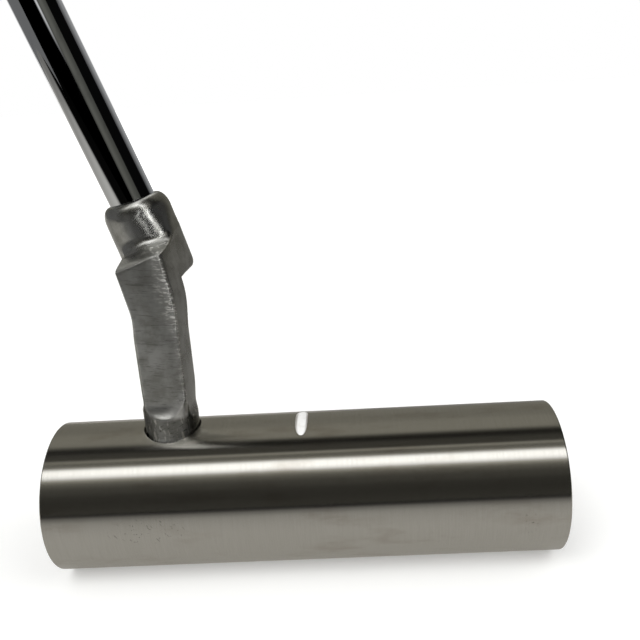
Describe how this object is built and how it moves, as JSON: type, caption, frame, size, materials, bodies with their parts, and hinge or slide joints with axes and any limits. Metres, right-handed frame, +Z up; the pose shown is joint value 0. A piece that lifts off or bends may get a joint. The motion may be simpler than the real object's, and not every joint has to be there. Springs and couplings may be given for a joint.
{
  "type": "golf putter",
  "caption": "Golf putter with a round bar head, an offset neck, a chromed stepped shaft and a rubber grip, standing at its lie angle.",
  "frame": {"origin": "centre of the sole flat under the middle of the head, on the ground", "axes": "+X from heel to toe along the bar, +Y the way the ball is struck, +Z up"},
  "size_m": [0.355, 0.0391, 0.8199],
  "materials": {
    "bar_steel": "stainless bar brushed round its length",
    "plug_steel": "turned and pressed in",
    "slot_paint": "white enamel laid in the sight slot",
    "neck_steel": "filed and satin blasted",
    "shaft_chrome": "mirror chrome plating on a steel tube",
    "stopper_nylon": "moulded nylon",
    "tape_paper": "two-sided masking tape",
    "grip_rubber": "moulded black rubber",
    "cap_rubber": "moulded black rubber"
  },
  "bodies": {
    "root": {"head_barrel": "bar_steel", "heel_end_plug": "plug_steel", "toe_end_plug": "plug_steel", "alignment_fill": "slot_paint", "hosel_neck": "neck_steel", "shaft": "shaft_chrome", "shaft_tip_plug": "stopper_nylon", "grip_tape": "tape_paper", "grip_sleeve": "grip_rubber", "grip_cap": "cap_rubber"}
  },
  "joints": []
}
